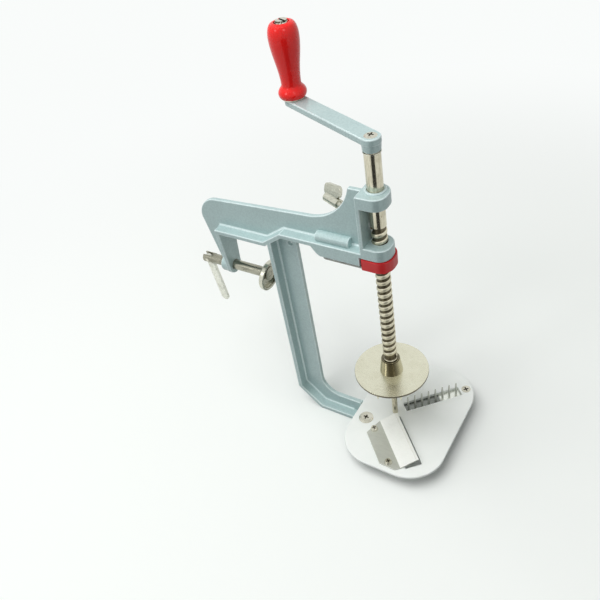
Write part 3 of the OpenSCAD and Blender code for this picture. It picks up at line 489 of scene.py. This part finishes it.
# true where a face takes the piece's second finish, which is painted shade or painted highlight: on
# a slope, in a screw's recess, in a hollow
def hasSecondFinish(settings, face):
    spot = face.calc_center_median() / mm
    if "slope" in settings and settings["slope"][0] < face.normal.z < settings["slope"][1]:
        return True
    for x, y, top, reach, depth in settings.get("recesses", []):
        low, high = top - depth - recessTest["past"], top - recessTest["under"]
        if math.hypot(spot.x - x, spot.y - y) < reach and low < spot.z < high:
            return True
    if "hollow" in settings:
        y, z, reach = settings["hollow"]
        return math.hypot(spot.y - y, spot.z - z) < reach and face.normal.x > hollowFacing
    return False


# a copy of a CAD node with its hard edges rounded over, and a second finish where it has one, which
# paints shade or a highlight
def roundedPiece(settings, *materials):
    bm = bmesh.new()
    bm.from_mesh(nodes[settings["node"]].data)
    bmesh.ops.remove_doubles(bm, verts=bm.verts, dist=cleanUp["merge"])
    bmesh.ops.dissolve_degenerate(bm, dist=cleanUp["sliver"], edges=bm.edges)
    bmesh.ops.dissolve_limit(bm, angle_limit=math.radians(cleanUp["flat"]),
                             verts=bm.verts, edges=bm.edges)
    if "weld" in settings:
        weldStep(bm, *settings["weld"])
    least = math.radians(settings.get("minAngle", hardEdge["least"]))
    most = math.radians(hardEdge["most"])
    hard = [edge for edge in bm.edges
            if len(edge.link_faces) == 2 and least < edge.calc_face_angle(0) < most
            and (edge.is_convex or not settings.get("outerOnly"))
            and not any(inBox(edgeMiddle(edge), *box) for box in settings.get("leave", []))]
    if "rim" in settings:
        outer = [edge for edge in hard if onOutline(bm, edge)]
        hard = [edge for edge in hard if edge not in outer]
        roundEdges(bm, outer, settings["rim"], hardEdge["rimSegments"])
    made = roundEdges(bm, hard, settings["edge"], hardEdge["segments"])
    # painted highlight: the rounded edges take the piece's lighter finish
    if settings.get("litEdges"):
        for face in made:
            face.material_index = 1
    for face in bm.faces:
        if hasSecondFinish(settings, face):
            face.material_index = 1
    for cove in settings.get("coves", []):
        addCove(bm, *cove)
    return closePiece(settings["name"], bm, materials, settings["body"],
                      settings["node"])


fullTurn = 2 * math.pi
turnMerge = 1e-7  # joins the points that a spin leaves on the axis, in metres


# a turned piece: rows of (radius, height) spun about the Z axis, in mm
def turnRows(bm, rows, steps):
    first = [bm.verts.new((radius * mm, 0, height * mm)) for radius, height in rows]
    edges = [bm.edges.new(pair) for pair in zip(first, first[1:])]
    bmesh.ops.spin(bm, geom=first + edges, cent=(0, 0, 0), axis=(0, 0, 1), dvec=(0, 0, 0),
                   angle=fullTurn, steps=steps, use_merge=True)
    bmesh.ops.remove_doubles(bm, verts=bm.verts, dist=turnMerge)
    bmesh.ops.recalc_face_normals(bm, faces=bm.faces)


# cast C-frame, with fillets on both faces of its rib where the flanges meet it
ribFaces = ((-5.2, -1), (-1.2, 1))
ribPaths = {"shelf": (2.0, [(-150, 195.6), (-100, 195.6), (-82, 208), (-10, 208)]),
            "post": (1.8, [(-92, 200), (-92, 23.66), (-72.14, 4.5), (-41, 4.5)]),
            "column": (1.6, [(-10, 208), (-10, 256)]),
            "leg": (1.6, [(-150, 162), (-150, 196)])}
castFrame = {"node": "frame", "name": "castFrame", "body": "frame", "slot": "hammer_paint",
             "edge": 0.8 * mm, "outerOnly": True, "litEdges": True,
             "weld": (-146.0, (-150.5, -15, 191.4), (-145.5, 9, 191.8), 0.2),
             "leave": [((-27, -3, 216), (-3, 17, 232)), ((-150.3, -12, 141), (-149.7, 6, 160)),
                       ((-10.5, -13.9, 203.2), (-9.5, 9, 213.8))],
             "coves": [(path, face, side, radius) for radius, path in ribPaths.values()
                       for face, side in ribFaces]}
roundedPiece(castFrame, hammerPaint, highlightPaint)

# crank arm: a flat bar with round ends, on a short tapered boss
crankArm = {"name": "crankArm", "reach": 90.0, "half": 7.1, "armLow": 293.55, "top": 298.8,
            "bossLow": 288.3, "bossFoot": 6.5, "bossTop": 6.9, "bossEdge": 0.5, "bossSteps": 56,
            "turn": 156.0, "edge": 0.9, "edgeSegments": 3, "arcSteps": 28, "level": 0.001}


def makeCrankArm(s):
    bm = bmesh.new()
    turnRows(bm, [
        (0, s["bossLow"]), (s["bossFoot"] - s["bossEdge"], s["bossLow"]),
        (s["bossFoot"], s["bossLow"] + s["bossEdge"]), (s["bossTop"], s["armLow"] + s["edge"]),
        (0, s["armLow"] + s["edge"])], s["bossSteps"])
    outline = []
    for centre, first in ((0, math.pi / 2), (s["reach"], -math.pi / 2)):
        for i in range(s["arcSteps"] + 1):
            angle = first + math.pi * i / s["arcSteps"]
            outline.append((centre + s["half"] * math.cos(angle), s["half"] * math.sin(angle)))
    low = [bm.verts.new((x * mm, y * mm, s["armLow"] * mm)) for x, y in outline]
    base = bm.faces.new(low[::-1])
    raised = bmesh.ops.extrude_face_region(bm, geom=[base], use_keep_orig=True)["geom"]
    high = [part for part in raised if isinstance(part, bmesh.types.BMVert)]
    bmesh.ops.translate(bm, verts=high, vec=(0, 0, (s["top"] - s["armLow"]) * mm))
    bar = set(low) | set(high)
    barFaces = [face for face in bm.faces if bar.issuperset(face.verts)]
    bmesh.ops.recalc_face_normals(bm, faces=barFaces)
    rims = [edge for edge in bm.edges if bar.issuperset(edge.verts)
            and abs(edge.verts[0].co.z - edge.verts[1].co.z) < s["level"] * mm]
    # painted highlight: the rounded rims of the bar take the lighter paint
    for face in roundEdges(bm, rims, s["edge"] * mm, s["edgeSegments"]):
        face.material_index = 1
    bmesh.ops.rotate(bm, verts=bm.verts, cent=(0, 0, 0),
                     matrix=Matrix.Rotation(math.radians(s["turn"]), 3, "Z"))
    return closePiece(s["name"], bm, [hammerPaint, highlightPaint], "spindle",
                      "crank_arm")


makeCrankArm(crankArm)

# thin collar under the crank's boss, no wider than the boss
crankCollar = {"name": "crankCollar", "inner": 6.02, "outer": 6.5, "edge": 0.2, "steps": 56}


def makeCollar(s):
    bm = bmesh.new()
    heights = [vert.co.z / mm for vert in nodes["crank_washer"].data.vertices]
    low, high = min(heights), max(heights)
    turnRows(bm, [
        (s["inner"], low), (s["outer"] - s["edge"], low), (s["outer"], low + s["edge"]),
        (s["outer"], high), (s["inner"], high), (s["inner"], low)], s["steps"])
    return closePiece(s["name"], bm, [zincScrew], "spindle", "crank_washer")


makeCollar(crankCollar)
print("castings done")

# feed spindle: plain rod above, coarse right-hand thread below
feedSpindle = {"name": "feedSpindle", "radius": 6.0, "coreRadius": 4.7, "pitch": 6.5,
               "threadLow": 89.7, "threadHigh": 227.0, "crest": 3.0, "root": 4.42,
               "stepsPerTurn": 48, "tailRadius": 4.0, "tailLow": 72.5, "hubLow": 74.5,
               "crankLow": 288.3, "tenonRadius": 4.5, "tenonHigh": 296.8, "crestRound": 0.55,
               "softStep": 0.5, "endGap": 0.3, "sunk": 0.2, "shoulder": 0.2, "shoulderDrop": 0.2,
               "grooveDepth": 0.4, "rodSteps": 48}


def makeSpindle(s):
    bm = bmesh.new()
    soft = s["softStep"]
    turnRows(bm, [
        (0, s["tailLow"]), (s["tailRadius"], s["tailLow"]), (s["tailRadius"], s["hubLow"]),
        (s["radius"], s["hubLow"]), (s["radius"], s["threadLow"] - soft),
        (s["radius"] - soft, s["threadLow"]), (s["coreRadius"], s["threadLow"] + soft),
        (s["coreRadius"], s["threadHigh"] - soft), (s["radius"] - soft, s["threadHigh"]),
        (s["radius"], s["threadHigh"] + soft), (s["radius"], s["crankLow"] - soft),
        (s["radius"] - soft, s["crankLow"]), (s["tenonRadius"], s["crankLow"]),
        (s["tenonRadius"], s["tenonHigh"]), (0, s["tenonHigh"])], s["rodSteps"])
    threadLength = s["threadHigh"] - s["threadLow"] - s["root"] - 2 * s["endGap"]
    steps = int(threadLength / s["pitch"] * s["stepsPerTurn"])
    start = s["threadLow"] + s["root"] / 2 + s["endGap"]
    bevel, shoulder = s["crestRound"], s["shoulder"]
    upper = [(s["radius"], s["crest"] / 2 - 2 * bevel),
             (s["radius"] - s["shoulderDrop"] * bevel, s["crest"] / 2 - shoulder),
             (s["radius"] - bevel, s["crest"] / 2 + shoulder),
             (s["coreRadius"], s["root"] / 2), (s["coreRadius"] - s["sunk"], s["root"] / 2)]
    outline = [(radius, -height) for radius, height in upper[::-1]] + upper
    ring = [bm.verts.new((radius * mm, 0, (start + height) * mm)) for radius, height in outline]
    loop = [bm.edges.new((ring[i - 1], ring[i])) for i in range(len(ring))]
    made = bmesh.ops.spin(bm, geom=ring + loop, cent=(0, 0, 0), axis=(0, 0, 1),
                          dvec=(0, 0, s["pitch"] * mm / s["stepsPerTurn"]),
                          angle=fullTurn * steps / s["stepsPerTurn"], steps=steps, use_merge=False)
    bm.faces.new(ring[::-1])
    lastRing = [part for part in made["geom_last"] if isinstance(part, bmesh.types.BMVert)]
    bmesh.ops.contextual_create(bm, geom=lastRing)
    bmesh.ops.recalc_face_normals(bm, faces=bm.faces)
    groove, crest = 1, 2  # places of their finishes in the list below
    for face in bm.faces:
        spot = face.calc_center_median() / mm
        if s["threadLow"] < spot.z < s["threadHigh"]:
            inGroove = math.hypot(spot.x, spot.y) < s["radius"] - s["grooveDepth"]
            face.material_index = groove if inGroove else crest
    return closePiece(s["name"], bm, [nickelRod, shadedGroove, nickelThread], "spindle",
                      "spindle")


makeSpindle(feedSpindle)
print("spindle done")

# red grip, turned, with a recess for its bolt head
turnedGrip = {"name": "turnedGrip", "centre": (-82.219, 36.606), "low": 300.1, "length": 54.0,
              "bead": 10.7, "neck": 7.4, "belly": 11.2, "mouth": 6.65, "recess": 5.55,
              "recessDepth": 2.0, "lip": 0.35, "rows": 64, "steps": 64, "bore": 3.05,
              "beadShare": 0.16, "beadStart": 0.25, "bellyShare": 0.82, "bellyPower": 1.12}


def gripRadius(s, share):
    if share < s["beadShare"]:
        along = s["beadStart"] + (1 - s["beadStart"]) * share / s["beadShare"]
        return s["neck"] + (s["bead"] - s["neck"]) * math.sin(math.pi * along)
    if share < s["bellyShare"]:
        along = (share - s["beadShare"]) / (s["bellyShare"] - s["beadShare"])
        swell = (0.5 - 0.5 * math.cos(math.pi * along)) ** s["bellyPower"]
        return s["neck"] + (s["belly"] - s["neck"]) * swell
    over = (share - s["bellyShare"]) / (1 - s["bellyShare"])
    return s["mouth"] + (s["belly"] - s["mouth"]) * math.sqrt(max(0.0, 1 - over * over))


def makeGrip(s):
    bm = bmesh.new()
    top = s["low"] + s["length"]
    rows = [(s["bore"], s["low"])]
    for i in range(s["rows"] + 1):
        share = i / s["rows"]
        rows.append((gripRadius(s, share), s["low"] + s["length"] * share))
    floor = top - s["recessDepth"]
    rows += [(s["recess"] + s["lip"], top), (s["recess"], top - s["lip"]), (s["recess"], floor),
             (s["bore"], floor), (s["bore"], s["low"])]
    turnRows(bm, rows, s["steps"])
    bmesh.ops.translate(bm, verts=bm.verts, vec=Vector((*s["centre"], 0)) * mm)
    return closePiece(s["name"], bm, [redLacquer], "grip", "grip")


makeGrip(turnedGrip)
print("grip done")

# sheet, plate and plated pieces, each with its edges broken
softPieces = [
    # painted shade: the disc's upright faces take the shaded finish
    ({"node": "pusher_disc", "name": "pusherDisc", "body": "spindle", "slot": "nickel",
      "edge": 0.35 * mm, "slope": (-0.5, 0.5)}, nickelDisc, shadedGroove),
    ({"node": "disc_hub", "name": "discHub", "body": "spindle", "slot": "nickel",
      "edge": 0.12 * mm}, nickelHub),
    ({"node": "blade_plate", "name": "bladePlate", "body": "frame", "slot": "white_plastic",
      "edge": 0.35 * mm, "rim": 0.9 * mm}, whitePlastic),
    ({"node": "nut_cap", "name": "nutCap", "body": "release_lever", "slot": "red_plastic",
      "edge": 0.2 * mm}, redPlastic),
    # painted highlight: the blade's sloped ramp takes the lighter flank finish
    ({"node": "slicing_blade", "name": "slicingBlade", "body": "frame", "slot": "blade_steel",
      "edge": 0.12 * mm, "minAngle": 12, "slope": (0.5, 0.993)}, bladeSheet, bladeFlankHighlight),
    # painted shade: the lever strip takes a darker steel than its sheet
    ({"node": "release_lever", "name": "leverStrip", "body": "release_lever",
      "slot": "blade_steel", "edge": 0.2 * mm}, shadedStripSteel),
    # painted shade: the pad's hollow takes the darker rod finish
    ({"node": "clamp_pad", "name": "clampPad", "body": "clamp_pad", "slot": "nickel",
      "edge": 0.4 * mm, "hollow": (-3.2, 150.2, 11.75)}, nickelClamp, clampRod),
    ({"node": "clamp_handle", "name": "clampHandle", "body": "clamp_handle", "slot": "nickel",
      "edge": 0.6 * mm}, clampZinc),
    ({"node": "clamp_screw", "name": "clampScrew", "body": "clamp_screw", "slot": "nickel",
      "edge": 0.3 * mm}, clampRod),
    ({"node": "wing_screw", "name": "wingScrew", "body": "wing_screw", "slot": "nickel",
      "edge": 0.16 * mm}, nickelClamp),
]
for settings, *materials in softPieces:
    roundedPiece(settings, *materials)
print("soft-edged pieces done")

# screws whose drive recess shows: x, y, top of the head, reach and depth of the recess, in mm
drivenScrews = [
    {"node": "crank_screw", "name": "crankScrew", "body": "spindle",
     "recesses": [(0, 0, 299.6, 2.6, 0.48)]},
    {"node": "grip_bolt", "name": "gripBolt", "body": "spindle",
     "recesses": [(-82.219, 36.606, 355.4, 4.6, 1.2)]},
    {"node": "plate_screws", "name": "plateScrews", "body": "frame",
     "recesses": [(-21.3, -17.3, 16.9, 2.7, 1.26), (-21.3, 17.3, 16.9, 2.7, 1.26)]},
    {"node": "comb_screw", "name": "combScrew", "body": "frame",
     "recesses": [(48.3, 50.98, 15.7, 2.6, 1.19)]},
    {"node": "blade_screws", "name": "bladeScrews", "body": "frame",
     "recesses": [(-8.24, -26.62, 19.3, 1.95, 0.96), (18.6, -53.46, 19.3, 1.95, 0.96)]},
]
for settings in drivenScrews:
    roundedPiece({**settings, "slot": "steel", "edge": 0.12 * mm}, zincScrew, shadedRecess)
print("screws done")

# the rest keep their CAD shape and get a finish
nodeFinish = {
    "grip_washer": zincScrew, "disc_screw": zincScrew, "prongs": nickelDisc,
    "screw_cups": zincScrew, "comb_bar": shadedCombBar, "comb_teeth": bladeSheet, "corer": nickelRod,
    "corer_nut": zincScrew, "half_nut": plainBrass, "cap_rivets": zincScrew,
    "lever_screw": zincScrew, "pad_ring": clampRod, "handle_rivet": zincScrew,
    "lock_plug": plainBrass,
}
for nodeName, material in nodeFinish.items():
    mesh = nodes[nodeName].data
    mesh.materials.clear()
    mesh.materials.append(material)
print("CAD nodes finished:", len(nodeFinish))


# 1 for what the camera sees straight or mirrored, 0 for the light that bounces
def seenRays(tree):
    path = addNode(tree, "ShaderNodeLightPath")
    either = addNode(tree, "ShaderNodeMath", {"operation": "MAXIMUM"})
    wire(tree,
         (path.outputs["Is Camera Ray"], either.inputs[0]),
         (path.outputs["Is Glossy Ray"], either.inputs[1]))
    return either.outputs[0]


def blendShaders(tree, share, first, second, target):
    blend = addNode(tree, "ShaderNodeMixShader")
    wire(tree,
         (share, blend.inputs[0]),
         (first.outputs[0], blend.inputs[1]), (second.outputs[0], blend.inputs[2]),
         (blend.outputs[0], tree.nodes[target].inputs["Surface"]))


# pale floor, which fades into the backdrop with distance
floorSettings = {"half": 6.0, "seen": fromScreen(249, 252, 249), "bounce": (0.3, 0.31, 0.31, 1.0),
                 "fadeStart": 0.2, "fadeEnd": 0.8, "backdrop": (0.95, 0.97, 0.96, 1.0),
                 "roughness": 0.9, "specular": 0.1}


def makeFloor(s):
    bm = bmesh.new()
    bmesh.ops.create_grid(bm, x_segments=2, y_segments=2, size=s["half"])
    mesh = takeMesh("floor", bm)
    material, tree, shader = plainMaterial(
        "paleFloor", {"Roughness": s["roughness"], "Specular IOR Level": s["specular"]})
    seen = seenRays(tree)
    place = addNode(tree, "ShaderNodeTexCoord")
    reach = addNode(tree, "ShaderNodeVectorMath", {"operation": "LENGTH"})
    fade = addNode(tree, "ShaderNodeMapRange", {"interpolation_type": "SMOOTHSTEP"},
                   {"From Min": s["fadeStart"], "From Max": s["fadeEnd"]})
    share = addNode(tree, "ShaderNodeMath", {"operation": "MULTIPLY"})
    backdrop = addNode(tree, "ShaderNodeEmission", None, {"Color": s["backdrop"], "Strength": 1.0})
    wire(tree,
         (mixColour(tree, s["bounce"], s["seen"], seen), shader.inputs["Base Color"]),
         (place.outputs["Object"], reach.inputs[0]), (reach.outputs["Value"], fade.inputs["Value"]),
         (fade.outputs["Result"], share.inputs[0]), (seen, share.inputs[1]))
    blendShaders(tree, share.outputs[0], shader, backdrop, "Material Output")
    mesh.materials.append(material)
    floor = addObject("floor", mesh)


makeFloor(floorSettings)

# soft studio light: a large key from the left, one overhead, and two small weak lamps in front
# that give the highlights; only these two are mirrored
lightSettings = {
    "key": {"place": (-1.3, -0.1, 1.7), "size": 1.6, "power": 11.0, "mirrored": False},
    "overhead": {"place": (-0.3, -0.5, 2.0), "size": 1.6, "power": 22.0, "mirrored": False},
    "fill": {"place": (-0.9, -1.5, 1.3), "size": 0.4, "power": 3.0, "mirrored": True},
    "glint": {"place": (1.2, -1.1, 1.5), "size": 0.35, "power": 2.0, "mirrored": True},
}
aim = Vector((-0.04, 0.0, 0.12))
for name, s in lightSettings.items():
    lamp = bpy.data.lights.new(name, "AREA")
    lamp.shape = "DISK"
    lamp.size = s["size"]
    lamp.energy = s["power"]
    holder = addObject(name, lamp)
    holder.location = s["place"]
    holder.rotation_euler = (aim - holder.location).to_track_quat("-Z", "Y").to_euler()
    holder.visible_glossy = s["mirrored"]


# dark card on the camera's side: only reflections show it, as a dark streak
darkCard = {"near": 0.12, "far": 1.6, "height": 0.002, "middle": -61.0, "half": 25.0, "steps": 8,
            "colour": (0.02, 0.02, 0.02, 1.0), "roughness": 0.9}


def makeDarkCard(s):
    bm = bmesh.new()
    edge = [bm.verts.new((reach, 0, s["height"])) for reach in (s["near"], s["far"])]
    line = bm.edges.new(edge)
    bmesh.ops.rotate(bm, verts=edge, cent=(0, 0, 0),
                     matrix=Matrix.Rotation(math.radians(s["middle"] - s["half"]), 3, "Z"))
    bmesh.ops.spin(bm, geom=edge + [line], cent=(0, 0, 0), axis=(0, 0, 1), dvec=(0, 0, 0),
                   angle=math.radians(2 * s["half"]), steps=s["steps"], use_merge=False)
    bmesh.ops.recalc_face_normals(bm, faces=bm.faces)
    mesh = takeMesh("darkCard", bm)
    mesh.materials.append(plainMaterial(
        "darkCard", {"Base Color": s["colour"], "Roughness": s["roughness"]})[0])
    card = addObject("darkCard", mesh)
    card.visible_camera = False
    card.visible_diffuse = False
    card.visible_shadow = False


makeDarkCard(darkCard)

# pale room: weak light, seen as white
roomSettings = {"colour": (0.95, 0.97, 0.96, 1.0), "strength": 0.31}


def makeRoom(s):
    world = bpy.data.worlds.new("room")
    world.use_nodes = True
    tree = world.node_tree
    light = tree.nodes["Background"]
    light.inputs["Color"].default_value = s["colour"]
    light.inputs["Strength"].default_value = s["strength"]
    seen = addNode(tree, "ShaderNodeBackground", None, {"Color": s["colour"], "Strength": 1.0})
    blendShaders(tree, seenRays(tree), light, seen, "World Output")
    bpy.context.scene.world = world


makeRoom(roomSettings)

# camera from the photo's perspective
cameraSettings = {"place": (0.19605, -0.34913, 0.51298), "right": (0.84472, 0.51390, -0.14948),
                  "up": (-0.2477, 0.6229, 0.7420), "lens": 40.51, "sensor": 36.0,
                  "clipNear": 0.01, "clipFar": 50}


def makeCamera(s):
    right = Vector(s["right"]).normalized()
    up = Vector(s["up"])
    up = (up - right * up.dot(right)).normalized()
    back = right.cross(up)
    data = bpy.data.cameras.new("camera")
    data.lens = s["lens"]
    data.sensor_width = s["sensor"]
    data.clip_start = s["clipNear"]
    data.clip_end = s["clipFar"]
    camera = addObject("camera", data)
    camera.matrix_world = Matrix((
        (right.x, up.x, back.x, s["place"][0]), (right.y, up.y, back.y, s["place"][1]),
        (right.z, up.z, back.z, s["place"][2]), (0, 0, 0, 1)))
    bpy.context.scene.camera = camera


makeCamera(cameraSettings)
bpy.context.scene.view_settings.view_transform = "Standard"
print("stage, light and camera done")
